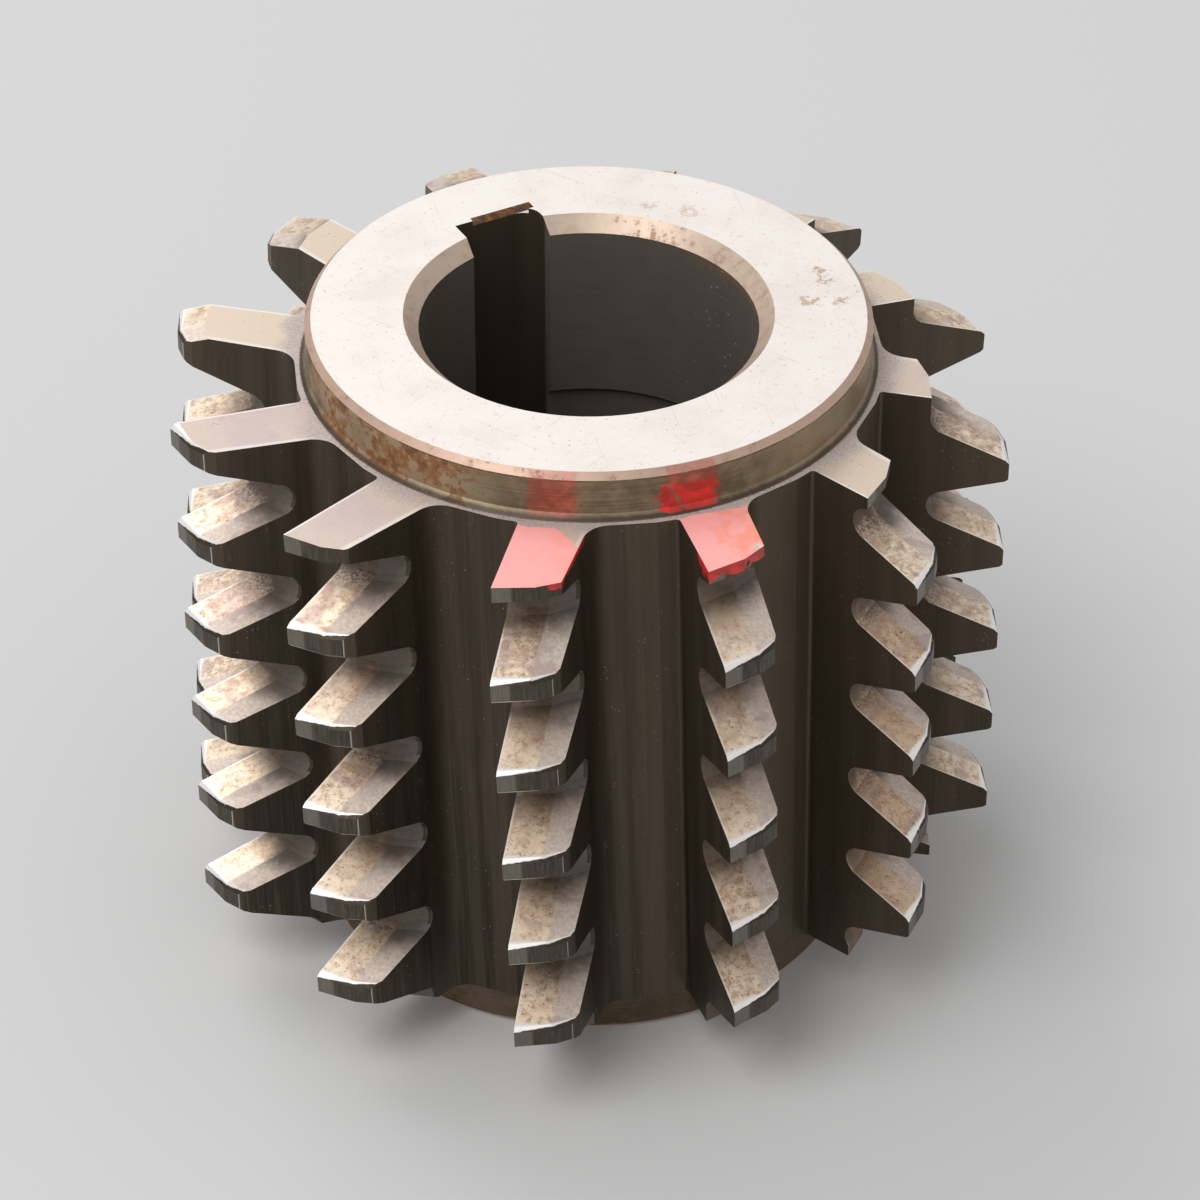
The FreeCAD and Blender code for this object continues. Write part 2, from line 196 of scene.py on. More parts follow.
class Term:
    """A socket of the hob's shader, for use in expressions."""

    def __init__(self, shader, socket):
        self.shader = shader
        self.socket = socket

    def math(self, operation, *others):
        inputs = dict(enumerate((self, *others)))
        return self.shader.node("ShaderNodeMath", {"operation": operation}, inputs)

    def reflected(self, operation, first):
        return self.shader.node("ShaderNodeMath", {"operation": operation}, {0: first, 1: self})

    def __add__(self, other):
        return self.math("ADD", other)

    __radd__ = __add__

    def __mul__(self, other):
        return self.math("MULTIPLY", other)

    __rmul__ = __mul__

    def __sub__(self, other):
        return self.math("SUBTRACT", other)

    def __rsub__(self, other):
        return self.reflected("SUBTRACT", other)

    def __truediv__(self, other):
        return self.math("DIVIDE", other)

    def __rtruediv__(self, other):
        return self.reflected("DIVIDE", other)

    def __abs__(self):
        return self.math("ABSOLUTE")


class Shader:
    """The node tree of one material."""

    def __init__(self, name):
        self.material = bpy.data.materials.new(name)
        self.material.use_nodes = True
        self.tree = self.material.node_tree
        self.tree.nodes.clear()

    def node(self, kind, settings=None, inputs=None, output=0):
        """A new node: first its settings, then the values or links of its sockets. Gives one output."""
        made = self.tree.nodes.new(kind)
        for name, value in (settings or {}).items():
            setattr(made, name, value)
        for key, value in (inputs or {}).items():
            if isinstance(value, Term):
                self.tree.links.new(value.socket, made.inputs[key])
            else:
                made.inputs[key].default_value = value
        return Term(self, made.outputs[output]) if output is not None else None

    def rise(self, term, low, high):
        """0 below low and 1 above high, with a soft step between. High below low turns it round."""
        return self.node("ShaderNodeMapRange", {"interpolation_type": "SMOOTHSTEP"},
                         {"Value": term, "From Min": low, "From Max": high})

    def within(self, term, low, high, soft):
        """1 between low and high, with a soft step at each."""
        return self.rise(term, low - soft, low + soft) * self.rise(term, high + soft, high - soft)

    def equal(self, term, number):
        """1 where a whole number is this one."""
        return self.within(term, number - 0.5, number + 0.5, 0.1)

    def mix(self, mask, below, above):
        """Two colours through a mask. Each is a term or plain numbers."""
        colours = [c if isinstance(c, Term) else (*c, 1) for c in (below, above)]
        return self.node("ShaderNodeMix", {"data_type": "RGBA"},
                         {"Factor": mask, 6: colours[0], 7: colours[1]}, 2)

    def surface(self, colour, rough, metal, height=None):
        """A steel or paint surface. The height is in millimetres."""
        plain = colour if isinstance(colour, Term) else (*colour, 1)
        inputs = {"Base Color": plain, "Roughness": rough, "Metallic": metal}
        if height is not None:
            bump = {"Strength": 1.0, "Distance": MM, "Height": height}
            inputs["Normal"] = self.node("ShaderNodeBump", None, bump)
        return self.node("ShaderNodeBsdfPrincipled", None, inputs)

    def cover(self, below, mask, above):
        """One surface, with the other over it where the mask is 1."""
        return self.node("ShaderNodeMixShader", None, {0: mask, 1: below, 2: above})

    def done(self, surface):
        """Links the surface to the output, and gives the material."""
        self.node("ShaderNodeOutputMaterial", None, {"Surface": surface}, None)
        return self.material

    def noise(self, vector, scale, detail=3.0, rough=0.55, distortion=0.0):
        return self.node("ShaderNodeTexNoise", None,
                         {"Vector": vector, "Scale": scale, "Detail": detail,
                          "Roughness": rough, "Distortion": distortion})

    def vector(self, *parts):
        return self.node("ShaderNodeCombineXYZ", None, dict(enumerate(parts)))

    def stretch(self, vector, *scale):
        return self.node("ShaderNodeVectorMath", {"operation": "MULTIPLY"}, {0: vector, 1: scale})

    def shift(self, vector, amount, scale):
        return self.node("ShaderNodeVectorMath", {"operation": "MULTIPLY_ADD"},
                         {0: vector, 1: (scale,) * 3, 2: (amount,) * 3})

    def turned(self, vector, radians):
        return self.node("ShaderNodeVectorRotate", {"rotation_type": "Z_AXIS"},
                         {"Vector": vector, "Angle": radians})

    def cell(self, vector, scale):
        """Distance to the nearest of scattered points, in cells."""
        return self.node("ShaderNodeTexVoronoi", None, {"Vector": vector, "Scale": scale})

    def chance(self, *numbers):
        """A fixed random number from 0 to 1 for up to three whole numbers."""
        return self.node("ShaderNodeTexWhiteNoise", None, {"Vector": self.vector(*numbers)})


class Place:
    """Where a shaded point lies on the hob, in millimetres and degrees."""

    def __init__(self, sh, form):
        source = sh.node("ShaderNodeTexCoord", None, None, "Object")
        self.point = sh.node("ShaderNodeVectorMath", {"operation": "SCALE"}, {0: source, "Scale": 1 / MM})
        normal = sh.node("ShaderNodeTexCoord", None, None, "Normal")
        x, y, z = (sh.node("ShaderNodeSeparateXYZ", None, {0: self.point}, i) for i in range(3))
        nx, ny, nz = (sh.node("ShaderNodeSeparateXYZ", None, {0: normal}, i) for i in range(3))
        self.x, self.y, self.z = x, y, z
        self.radius = (x * x + y * y).math("SQRT")
        self.azimuth = y.math("ARCTAN2", x).math("DEGREES")
        self.outward = (nx * x + ny * y) / self.radius
        self.sideways = abs(nx * y - ny * x) / self.radius
        self.level = abs(nz)
        self.middle = abs(z - HALF_LENGTH)
        tip = form.tip_radius / MM
        pitch = form.axial_pitch / MM
        lean = math.degrees(math.tan(form.gash_lean)) / tip
        first_face = math.degrees(form.row_azimuth) + HALF_LENGTH * lean
        turn = (self.azimuth - first_face + z * lean) / ROW_ANGLE
        row = (turn + ROW_MARGIN).math("FLOOR")
        across = ((turn - row) * ROW_ANGLE).math("RADIANS")
        self.behind = self.radius * across.math("SINE")
        self.along = self.radius * across.math("COSINE")
        rise = math.tan(form.thread_rise)
        thread = (z - self.behind * rise - form.thread_start / MM) / pitch - row / ROWS
        self.tooth = thread.math("FLOOR")
        self.row = row.math("FLOORED_MODULO", ROWS)
        ground, backed = form.ground_width / MM, form.backed_width / MM
        slope = form.ground_drop / form.ground_width
        steeper = (form.backed_drop - form.ground_drop) / (form.backed_width - form.ground_width) - slope
        relief = self.behind.math("MAXIMUM", 0) * slope
        relief = relief + (self.behind - ground).math("MAXIMUM", 0) * steeper
        self.depth = tip - self.along - relief
        self.heel = self.behind + (self.along - tip) * LAND_TAPER - backed
        self.end = HALF_LENGTH - form.hub_height / MM
        self.upper_end = HALF_LENGTH + self.end
        self.collar = form.hub_radius / MM


def specks(sh, p, per_mm, size, low, seed):
    """Small scattered dots, only where a broad noise is above low."""
    near = sh.rise(sh.cell(sh.shift(p.point, seed, per_mm), 1.0), size, size * 0.4)
    return near * sh.rise(sh.noise(sh.shift(p.point, seed, 0.4), 1.0, 2.0), low, low + 0.12)


def flank(sh, p, form, steel, wear):
    """Relieved flanks and roots: ground behind the cutting edge, and milled towards the heel."""
    luck = sh.chance(p.row, p.tooth)
    cloud = sh.noise(p.point, 0.5, 3.0, 0.6)
    fine = sh.noise(p.point, 3.4, 3.0, 0.7)
    # Brighter towards the tip and darker towards the root as painted light, over random clean and dull
    # patches
    clean_and_lit = cloud + luck * 0.15 + fine * 0.3 - p.depth * 0.06
    ground = sh.mix(sh.rise(clean_and_lit, 0.25, 0.75), steel.flank, steel.flank_bright)
    mottle = sh.noise(sh.shift(p.point, 5.7, 1.7), 1.0, 3.0, 0.75)
    browned = sh.rise(mottle + luck * 0.10 + p.depth * 0.012, 0.50, 0.76)
    ground = sh.mix(browned * 0.75, ground, wear.stain)
    dull = sh.equal(p.row, DULL_ROW) * sh.rise(p.z, *BELOW_TOP_TOOTH)
    ground = sh.mix(dull * 0.5, ground, wear.stain)
    milled = sh.mix(sh.rise(fine, 0.3, 0.75) * 0.7, steel.backed, steel.backed_bright)
    width = form.ground_width / MM
    border = sh.rise(p.behind + (cloud - 0.5) * 0.35, width - 0.12, width + 0.06)
    colour = sh.mix(border, ground, milled)
    violet = sh.rise(sh.noise(sh.shift(p.point, 4.4, 0.45), 1.0, 2.0) + luck * 0.12, 0.62, 0.72)
    colour = sh.mix(violet * 0.45, colour, wear.violet)
    # Pits, many on some teeth and few on others
    often = 0.40 - luck * 0.10 - dull * 0.04 - p.depth * 0.010 + p.z * 0.0035
    grains = sh.noise(sh.shift(p.point, 2.2, 4.5), 1.0, 2.0, 0.7)
    pits = sh.rise(grains, 0.60, 0.66) * sh.rise(mottle, often, often + 0.12) * (1 - border * 0.6)
    colour = sh.mix(pits * 0.75, colour, wear.pit)
    # Dried oil and painted shade in the root, under the tooth above, and a crust of fine chips on some
    # teeth
    front = sh.rise(p.row, *FRONT_ROWS)
    grime_and_shade_depth = p.depth + (cloud - 0.5) * 2.4 + border * (0.9 - front) + front * 0.5 - dull * 0.7
    grime_and_shade = sh.rise(grime_and_shade_depth, 3.3, 6.3)
    colour = sh.mix(grime_and_shade * 0.85, colour, wear.grime_and_shade)
    crust = sh.within(p.depth + (cloud - 0.5) * 1.5, 4.7, 6.0, 0.35) * sh.rise(luck, 0.35, 0.5)
    crust = crust * (1 - border) * (1 - front)
    colour = sh.mix(crust * sh.rise(grains, 0.40, 0.62) * 0.6, colour, wear.crust)
    # Bright worn metal with a painted highlight along the tip, narrower towards the heel, and a thin
    # painted highlight at the cutting edge
    worn_and_highlight = sh.rise(p.depth + p.behind * 0.07 + (fine - 0.5) * 0.5, 0.75, 0.42)
    line = sh.rise(p.behind + (fine - 0.5) * 0.2, 0.22, 0.08)
    colour = sh.mix(worn_and_highlight.math("MAXIMUM", line * 0.5) * (1 - grime_and_shade), colour, steel.edge)
    rough = 0.40 + border * 0.08 + grime_and_shade * 0.15 - worn_and_highlight * 0.05
    metal = 0.58 - border * 0.18 - grime_and_shade * 0.3
    return sh.surface(colour, rough, metal, fine * 0.008 + crust * 0.05)


def tip_corner(sh, p, form, steel, wear):
    """Broken corner of a tooth tip: bright with wear and a painted highlight, and dark below a line that
    rises to the heel.
    """
    fine = sh.noise(p.point, 2.5, 3.0, 0.6)
    slant = form.tip_bevel / form.backed_width
    bright = sh.rise(p.depth - p.behind * slant + (fine - 0.5) * 0.12, -0.03, 0.05)
    colour = sh.mix(bright, steel.land, steel.edge)
    return sh.surface(sh.mix(sh.rise(fine, 0.6, 0.8) * 0.4, colour, steel.flank), 0.36, 0.7)


def land(sh, p, form, steel, wear):
    """Outer faces of the teeth: a paler strip behind the cutting edge, and fine lines along the axis."""
    lines = sh.noise(sh.vector(p.behind * 8, p.row * 3.3, p.z * 0.5), 1.0, 3.0, 0.7)
    strip = sh.rise(p.behind + (lines - 0.5) * 0.5, 1.55, 1.3)
    colour = sh.mix(sh.rise(lines, 0.35, 0.8) * 0.4 + strip * 0.6, steel.land, steel.land_bright)
    return sh.surface(colour, 0.42, 0.6, lines * 0.006)


def gash(sh, p, form, steel, wear):
    """Dark skin on the cutting faces, heels and gash floors, with grinding lines along the gash, and
    painted light on the heels and floors on the right.
    """
    lines = sh.noise(sh.vector(p.along * 6, p.behind * 6, p.z * 0.10), 1.0, 3.0, 0.7)
    bands = sh.noise(sh.vector(p.along * 0.6, p.behind * 1.1, p.z * 0.03), 1.0, 2.0)
    cloud = sh.noise(p.point, 0.3, 2.0, 0.6)
    colour = sh.mix(sh.rise(bands, 0.35, 0.65), wear.oxide, wear.oxide_worn)
    colour = sh.mix(sh.rise(lines, 0.45, 0.8) * 0.6, colour, wear.oxide_line_and_light)
    colour = sh.mix(sh.rise(p.z + cloud * 20, 15, 60) * 0.55, colour, wear.oxide_worn)
    # Painted light: the heel walls and floors of the gashes on the right are made lighter
    not_behind = sh.rise(p.azimuth, *NOT_BEHIND)
    heel = sh.rise(p.heel, -0.5, 0.2) * sh.rise(p.azimuth, *RIGHT_HEELS) * not_behind
    right = sh.rise(p.azimuth, *RIGHT_FLOORS) * not_behind
    colour = sh.mix(heel * 0.85 + (1 - heel) * right * 0.35, colour, wear.oxide_line_and_light)
    dust = specks(sh, p, per_mm=1.9, size=0.15, low=0.52, seed=3.1)
    smears = sh.rise(sh.noise(sh.stretch(p.point, 1.6, 1.6, 0.5), 1.0, 3.0, 0.7, 1.0), 0.66, 0.74)
    colour = sh.mix(dust * 0.3 + smears * 0.10, colour, steel.backed_bright)
    return sh.surface(colour, 0.45 + smears * 0.1, 0.6, lines * 0.014)


def end_face(sh, p, form, steel, wear):
    """End faces: turned and grey round the hub, ground and warmer on the ends of the teeth."""
    cloud = sh.noise(p.point, 0.33, 4.0, 0.6)
    fine = sh.noise(p.point, 4.5, 3.0, 0.7)
    middle = sh.within(p.along + (cloud - 0.5) * 6, 25.5, 30.5, 1.6)
    side = sh.within(p.azimuth, *COOL_ENDS_LEFT, 12) + sh.within(p.azimuth, *COOL_ENDS_RIGHT, 10) * 0.6
    cast = sh.rise(side + (cloud - 0.5) * 0.9, 0.2, 1.0) * (0.6 + middle * 0.4)
    tooth = sh.mix(cast, steel.end_warm, steel.end_cool)
    tooth = sh.mix(sh.rise(fine, 0.5, 0.75) * 0.45, tooth, steel.backed_bright)
    brush = sh.noise(sh.vector(p.along * 0.5, p.behind * 3.5, p.row * 5.1), 1.0, 3.0, 0.7)
    tooth = sh.mix(sh.rise(brush, 0.45, 0.75) * 0.45, tooth, steel.end_grain)
    ring = sh.mix(sh.rise(fine, 0.3, 0.7) * 0.7, steel.end_face, steel.end_grain)
    ring = sh.mix(sh.rise(cloud, 0.4, 0.7) * 0.4, ring, steel.end_cool)
    outer = sh.rise(p.radius + (cloud - 0.5) * 3.4 + (fine - 0.5) * 1.2, 23.6, 25.6)
    colour = sh.mix(outer, ring, tooth)
    spots = specks(sh, p, per_mm=1.8, size=0.20, low=0.48, seed=7.7) * (1 - outer * 0.45)
    # Painted shade in a dark line at the foot of the hub, darker towards the lower end, and small dirt
    # spots
    foot = sh.rise(p.radius + (fine - 0.5) * 0.4, p.collar + 0.65, p.collar + 0.35)
    low = sh.rise(p.z, *LOWER_END) * (1 - outer)
    colour = sh.mix((foot * 0.7 + spots * 0.6 + low * 0.7).math("MINIMUM", 0.8), colour, wear.grime_and_shade)
    # Painted highlights: bright rims at the cutting edge, the heel and the tip
    rim = sh.rise(p.behind, 0.24, 0.08).math("MAXIMUM", sh.rise(p.heel, -0.22, -0.08) * 0.6)
    tip = sh.rise(p.depth + (fine - 0.5) * 0.3, 0.55, 0.25)
    colour = sh.mix(rim.math("MAXIMUM", tip) * outer * 0.85, colour, steel.edge)
    return sh.surface(colour, 0.52 - outer * 0.1, 0.30 + outer * 0.25, fine * 0.012 * (1.3 - outer))


def hub_face(sh, p, form, steel, wear):
    """Ground hub faces, pale, with thin scratches, small marks and a few tan stains."""
    cloud = sh.noise(p.point, 0.16, 4.0, 0.6)
    fine = sh.noise(p.point, 3.6, 3.0, 0.7)
    colour = sh.mix(sh.rise(cloud, 0.40, 0.75) * 0.45 + sh.rise(fine, 0.5, 0.75) * 0.4,
                    steel.hub_face, steel.hub_shade)
    scratches = 0
    for turn, low in SCRATCHES:
        line = sh.noise(sh.stretch(sh.turned(p.point, turn), 0.10, 7.0, 1.0), 1.0, 2.0)
        scratches = scratches + sh.rise(line, low, low + 0.06)
    colour = sh.mix(scratches * 0.30, colour, wear.stain)
    near = 0
    for x, y, size in STAINS:
        away = ((p.x - x) * (p.x - x) + (p.y - y) * (p.y - y)).math("SQRT")
        near = sh.rise(away, size * 1.3, size * 0.3) + near
    top = sh.rise(p.z, *UPPER_HALF)
    blotch = sh.noise(p.point, 1.5, 4.0, 0.7, 0.5)
    marks = sh.rise(blotch + near * top * 0.17, 0.60, 0.72)
    strength = (0.36 + near * 0.4).math("MINIMUM", 0.8) * sh.rise(p.y, 30, 4)
    colour = sh.mix(marks * strength, colour, wear.stain)
    dots = specks(sh, p, per_mm=1.5, size=0.17, low=0.40, seed=1.7)
    colour = sh.mix(dots * 0.55, colour, wear.stain)
    return sh.surface(colour, 0.42 + marks * 0.1, 0.35, fine * 0.004)


def hub_side(sh, p, form, steel, wear):
    """Turned rims of the hubs, olive with age and rusty on one side; paler on the other side and along the
    top as painted light, with painted shade at the foot and darker towards the lower end.
    """
    lines = sh.noise(sh.vector(p.z * 6, p.azimuth * 0.04, 0.0), 1.0, 3.0, 0.6)
    cloud = sh.noise(p.point, 0.4, 3.0, 0.65)
    fine = sh.noise(p.point, 1.1, 4.0, 0.7, 0.4)
    colour = sh.mix(sh.rise(lines * 0.5 + cloud, 0.55, 0.95), steel.hub_side, steel.hub_side_bright)
    # The rusty left side is warmer; the right side is made paler as painted light
    around = p.azimuth + (cloud - 0.5) * 25
    side = sh.within(around, *RUSTY_RIM, 7)
    right = sh.within(around, *LIT_RIM, 9)
    colour = sh.mix(side * 0.75 + right * 0.5, colour, steel.hub_side_warm_and_lit)
    rust = sh.rise(fine * 0.7 + cloud * 0.5 + side * 0.12, 0.66, 0.76) * (0.30 + side * 0.60)
    colour = sh.mix(rust, colour, wear.rust)
    dark = sh.rise(fine * 0.6 + cloud * 0.4 + side * 0.08, 0.60, 0.70)
    colour = sh.mix(dark * 0.6, colour, wear.rust_dark)
    # Painted shade at the foot of the hub, and darker towards the lower end
    foot = sh.rise(p.middle + (fine - 0.5) * 0.3, p.end + 0.42, p.end + 0.18)
    low = sh.rise(p.z, *LOWER_END)
    colour = sh.mix((foot * 0.85).math("MAXIMUM", low * 0.6), colour, wear.grime_and_shade)
    line = sh.within(p.middle + (fine - 0.5) * 0.2, p.end + 3.34, p.end + 3.52, 0.06)
    line = line * sh.rise(cloud, 0.38, 0.52)
    colour = sh.mix(line * 0.6, colour, wear.rust_dark)
    # Painted highlight along the upper edge of the rim
    top = sh.rise(p.middle + (fine - 0.5) * 0.5, p.end + 3.2, p.end + 3.6) * (1 - line)
    colour = sh.mix(top * 0.45, colour, steel.hub_side_warm_and_lit)
    return sh.surface(colour, 0.45 + rust * 0.3, 0.45 - rust * 0.3, lines * 0.008 + rust * fine * 0.05)


def rim(sh, p, form, steel, wear):
    """Rims of the hub faces and mouths of the bore: tan, with a little rust."""
    cloud = sh.noise(p.point, 0.7, 3.0, 0.65)
    fine = sh.noise(p.point, 2.4, 4.0, 0.7)
    inner = sh.rise(p.radius, *MOUTH)
    colour = sh.mix(inner * 0.85, steel.rim, steel.mouth)
    colour = sh.mix(sh.rise(cloud, 0.4, 0.7) * 0.5, colour, steel.rim_dull)
    upper_right = sh.within(p.azimuth, 0, 75, 12) * inner
    rust = sh.rise(fine * 0.6 + cloud * 0.5 + upper_right * 0.05, 0.62, 0.70)
    colour = sh.mix(rust * (0.5 - inner * 0.2), colour, wear.rust)
    return sh.surface(colour, 0.45 + rust * 0.2, 0.5 - rust * 0.2, fine * 0.008)


def bore(sh, p, form, steel, wear):
    """Wall of the bore and the keyway, dark and lighter towards one side as painted light, with pale dust
    on one side and rust under one rim.
    """
    lines = sh.noise(sh.vector(p.z * 3, p.azimuth * 0.06, 0.0), 1.0, 3.0)
    cloud = sh.noise(p.point, 0.4, 4.0, 0.6)
    # Painted light: the bore wall is lighter towards its lit side
    lit_side = sh.rise(abs(p.azimuth - LIT_SIDE), 130, 30)
    colour = sh.mix(lines * 0.4 + cloud * 0.3 + lit_side * 0.3, steel.bore, steel.bore_bright)
    keyway = sh.rise(p.radius, *KEYWAY_WALL)
    colour = sh.mix(keyway, colour, steel.keyway)
    dust = specks(sh, p, per_mm=1.3, size=0.2, low=0.46, seed=5.3)
    dust = dust + specks(sh, p, per_mm=2.6, size=0.2, low=0.5, seed=8.9) * 0.7
    colour = sh.mix(dust * sh.rise(abs(p.azimuth - DUSTY_SIDE), 60, 25) * 0.75, colour, steel.end_cool)
    near_rim = sh.rise(p.middle + (cloud - 0.5) * 2, p.end + 1.8, p.end + 2.8)
    near_rim = near_rim * sh.rise(abs(p.azimuth - RUSTY_SIDE), 36, 16)
    colour = sh.mix(near_rim * 0.4, colour, wear.rust)
    return sh.surface(colour, 0.42, 0.3 - near_rim * 0.2, lines * 0.004)


def keyway_edge(sh, p, form, steel, wear):
    """Broken edge of the keyway at its floor, brown with rust."""
    fine = sh.noise(p.point, 2.0, 3.0, 0.7)
    return sh.surface(sh.mix(sh.rise(fine, 0.4, 0.65), wear.rust_dark, wear.rust), 0.6, 0.2)


def paint_on_ends(sh, p):
    """Where paint lies on the ends of the first two rows, and where it ran over their edges."""
    slow = sh.noise(p.point, 0.6, 3.0) - 0.5
    quick = sh.noise(p.point, 2.0, 3.0, 0.6) - 0.5
    first, second = (sh.equal(p.row, number) for number in (FIRST_ROW, SECOND_ROW))
    upper = sh.rise(p.z, *UPPER_THIRD)
    flat = sh.rise(p.level, 0.95, 0.98) * upper
    bare = (p.behind - 3.2).math("MAXIMUM", 0) * 0.9
    one = flat * first * sh.rise(p.along - bare + slow * 1.5 + quick * 0.3, 23.75, 23.95)
    one = one * sh.rise(p.depth - 1.1 + p.behind * 0.2 + quick * 0.25, 0.05, 0.2)
    two = flat * second * sh.rise(p.along + slow * 0.8 + quick * 0.3, 23.3, 23.5)
    chip = sh.rise(abs(p.along - 28.6) + abs(p.behind - 4.5) * 1.3 + quick * 0.5, 0.35, 0.6)
    side = upper * (1 - sh.rise(p.level, 0.90, 0.95))
    top = p.upper_end
    over_heel = first * side * sh.rise(p.z + slow * 1.2 + quick * 0.5, top - 0.55, top - 0.35)
    over_heel = over_heel * sh.within(p.heel, -0.6, 0.5, 0.1) * sh.rise(p.along, 23.9, 24.3)
    over_tip = second * side * sh.rise(p.z + slow * 3.4 + quick * 1.2, top - 1.1, top - 0.85)
    over_tip = over_tip * sh.rise(p.along, 27.5, 28.5)
    return one, two * chip, (over_heel + over_tip).math("MINIMUM", 1)


def paint_on_hub(sh, p):
    """Where paint lies on the hub's rim: a strong dab, and two faint ones."""
    slow = sh.noise(p.point, 0.9, 3.0) - 0.5
    quick = sh.noise(p.point, 2.4, 3.0) - 0.5
    top = p.upper_end
    rim_zone = sh.rise(p.radius, p.collar + 0.7, p.collar + 0.4)
    rim_zone = rim_zone * sh.rise(p.radius, p.collar - 0.6, p.collar - 0.4)
    rim_zone = rim_zone * sh.rise(p.z, top + 0.1, top + 0.3)
    streak = sh.noise(sh.vector(p.z * 2.6, p.azimuth * 0.12, 0.0), 1.0, 2.0) - 0.5
    lower = sh.rise(p.z + slow * 1.2 + quick * 0.9, top + 2.6, top + 2.35)
    strong = sh.within(p.azimuth + streak * 9 + quick * 2, *STRONG_DAB, 0.3) * lower
    gap = sh.rise(abs(p.azimuth - GAP_IN_DAB + (p.z - (top + 1.5)) * 1.2) + quick * 1.2, 0.25, 0.6)
    left, right = (sh.within(p.azimuth + slow * 2, *dab, 0.5) for dab in FAINT_DABS)
    return strong * gap * rim_zone, (left + right) * rim_zone * (0.32 + quick * 0.5)


class HOB_OT_steel(bpy.types.Operator):
    """Give the hob its steel, oxide, rust and paint"""

    bl_idname = "hob.steel"
    bl_label = "Finish the steel"

    def execute(self, context):
        form, steel, wear = context.scene.hob_form, context.scene.hob_steel, context.scene.hob_wear
        sh = Shader("hob_steel")
        p = Place(sh, form)
        flat = sh.rise(p.level, *FLAT)
        slant = sh.within(p.level, *SLANT, 0.03)
        upright = sh.rise(p.level, *UPRIGHT)
        hub_zone = sh.rise(p.middle, p.end + 0.02, p.end + 0.06)
        at_tip = sh.rise(p.depth, *AT_TIP)
        deep = sh.rise(p.radius, *GASH_FLOOR).math("MAXIMUM", sh.rise(p.heel, -0.15, -0.05))
        in_gash = sh.rise(p.sideways, *CUTTING_FACE).math("MAXIMUM", deep * upright)
        inside = sh.rise(p.radius, *INSIDE)
        zones = (
            (at_tip * slant, tip_corner),
            (upright * sh.rise(p.outward, *OUTER_FACE) * sh.rise(p.depth, *ABOVE_ROOT), land),
            (in_gash, gash),
            (flat, end_face),
            (hub_zone * (1 - flat), hub_side),
            (hub_zone * slant * sh.rise(p.middle, p.end + 1, p.end + 1.2), rim),
            (inside, bore),
            (inside * slant * hub_zone, rim),
            (inside * slant * sh.rise(p.radius, *KEYWAY_EDGE), keyway_edge),
            (flat * sh.rise(p.middle, p.end + 2, p.end + 2.5), hub_face),
        )
        surface = flank(sh, p, form, steel, wear)
        for mask, finish in zones:
            surface = sh.cover(surface, mask, finish(sh, p, form, steel, wear))
        one, two, runs = paint_on_ends(sh, p)
        strong, faint = paint_on_hub(sh, p)
        grain = sh.noise(p.point, 0.8, 4.0, 0.6)
        streaks = sh.rise(grain + (p.behind - 3) * 0.06, 0.42, 0.7)
        pink = sh.mix(streaks * 0.5, wear.paint_thin, wear.paint_warm)
        surface = sh.cover(surface, one, sh.surface(pink, 0.38, 0.0, grain * 0.03))
        warm = sh.mix(streaks, wear.paint_thin, wear.paint_warm)
        surface = sh.cover(surface, two, sh.surface(warm, 0.35, 0.0, grain * 0.04))
        red = sh.mix(sh.rise(grain, 0.4, 0.7), wear.paint_dark, wear.paint)
        thick = sh.surface(red, 0.32, 0.0, grain * 0.05)
        surface = sh.cover(surface, (faint + strong + runs).math("MINIMUM", 1), thick)
        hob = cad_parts[HOB]
        hob.data.materials.clear()
        hob.data.materials.append(sh.done(surface))
        return {"FINISHED"}


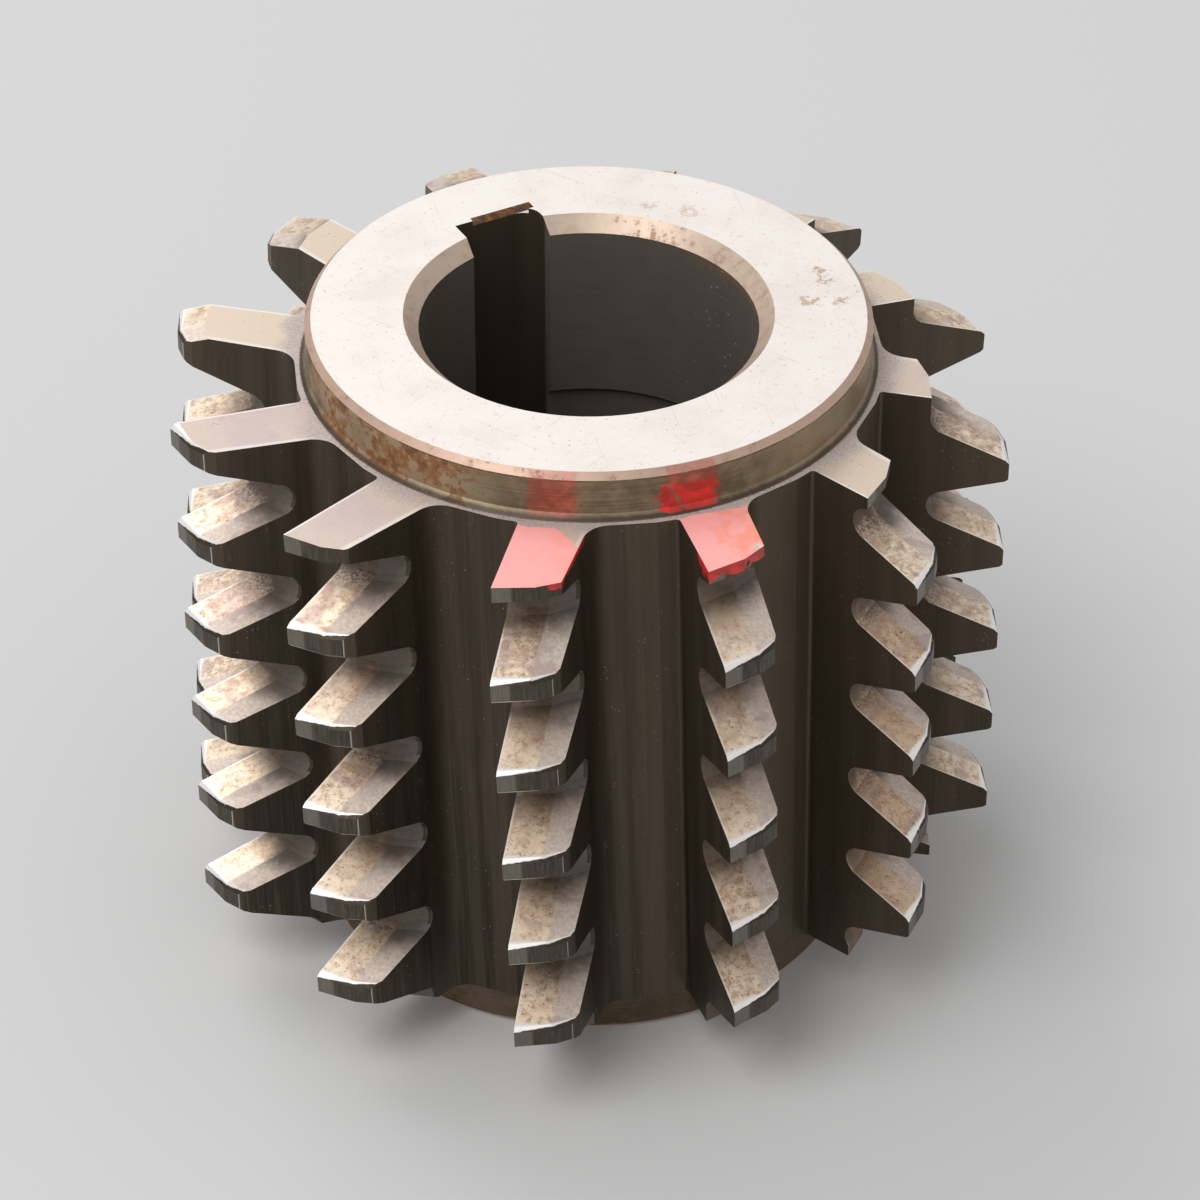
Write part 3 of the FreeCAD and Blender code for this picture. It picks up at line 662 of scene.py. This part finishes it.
class HOB_OT_stage(bpy.types.Operator):
    """Make the floor, the lamps, the world and the camera"""

    bl_idname = "hob.stage"
    bl_label = "Set the stage"

    def execute(self, context):
        stage = context.scene.hob_stage
        self.floor(context, stage)
        self.lamp(context, "main_lamp", Vector(MAIN_LAMP), stage.lamp)
        self.lamp(context, "back_lamp", Vector(BACK_LAMP), stage.fill)
        world = bpy.data.worlds.new("grey_world")
        world.use_nodes = True
        background = world.node_tree.nodes["Background"].inputs
        background["Color"].default_value = (1, 1, 1, 1)
        background["Strength"].default_value = stage.sky
        context.scene.world = world
        context.scene.view_settings.view_transform = "Standard"
        self.camera(context, stage)
        return {"FINISHED"}

    def floor(self, context, stage):
        mesh = bpy.data.meshes.new("floor")
        signs = ((-1, -1), (1, -1), (1, 1), (-1, 1))
        mesh.from_pydata([(x * FLOOR_HALF, y * FLOOR_HALF, 0) for x, y in signs], [], [(0, 1, 2, 3)])
        floor = bpy.data.objects.new("floor", mesh)
        context.scene.collection.objects.link(floor)
        sh = Shader("floor_paper")
        mesh.materials.append(sh.done(sh.surface(stage.floor, FLOOR_ROUGHNESS, 0.0)))

    def lamp(self, context, name, place, watts):
        light = bpy.data.lights.new(name, "AREA")
        light.shape = "DISK"
        light.size = LAMP_SIZE
        light.energy = watts
        lamp = bpy.data.objects.new(name, light)
        lamp.location = place
        lamp.rotation_mode = "QUATERNION"
        centre = Vector((0, 0, HALF_LENGTH * MM))
        lamp.rotation_quaternion = (centre - place).to_track_quat("-Z", "Y")
        context.scene.collection.objects.link(lamp)

    def camera(self, context, stage):
        data = bpy.data.cameras.new("camera")
        data.sensor_width = SENSOR_WIDTH
        data.lens = stage.lens / MM
        data.clip_start, data.clip_end = CLIP_START, CLIP_END
        camera = bpy.data.objects.new("camera", data)
        cp, sp = math.cos(stage.pitch), math.sin(stage.pitch)
        cy, sy = math.cos(stage.yaw), math.sin(stage.yaw)
        ahead = Vector((sy * cp, cy * cp, -sp))
        right = Vector((cy, -sy, 0))
        up = right.cross(ahead)
        side = math.cos(stage.roll) * right + math.sin(stage.roll) * up
        top = math.cos(stage.roll) * up - math.sin(stage.roll) * right
        turn = Matrix((side, top, -ahead)).transposed()
        camera.matrix_world = Matrix.Translation(CAMERA_PLACE) @ turn.to_4x4()
        context.scene.collection.objects.link(camera)
        context.scene.camera = camera


class HOB_PT_panel(bpy.types.Panel):
    """Lists the hob's finishes"""

    bl_label = "Gear hob"
    bl_idname = "HOB_PT_panel"
    bl_space_type = "VIEW_3D"
    bl_region_type = "UI"
    bl_category = "Gear hob"

    def draw(self, context):
        for operator in OPERATORS:
            self.layout.operator(operator.bl_idname)
        for name, group in SETTINGS.items():
            box = self.layout.box()
            for key in group.__annotations__:
                box.prop(getattr(context.scene, name), key)


SETTINGS = {"hob_form": HobForm, "hob_steel": HobSteel, "hob_wear": HobWear, "hob_stage": HobStage}
OPERATORS = (HOB_OT_stage, HOB_OT_steel)
CLASSES = (*SETTINGS.values(), *OPERATORS, HOB_PT_panel)


def register():
    for cls in CLASSES:
        bpy.utils.register_class(cls)
    for name, group in SETTINGS.items():
        setattr(bpy.types.Scene, name, PointerProperty(type=group))


def unregister():
    for name in SETTINGS:
        delattr(bpy.types.Scene, name)
    for cls in reversed(CLASSES):
        bpy.utils.unregister_class(cls)


def main():
    register()
    bpy.ops.hob.stage()
    bpy.ops.hob.steel()


if __name__ == "__main__":
    main()
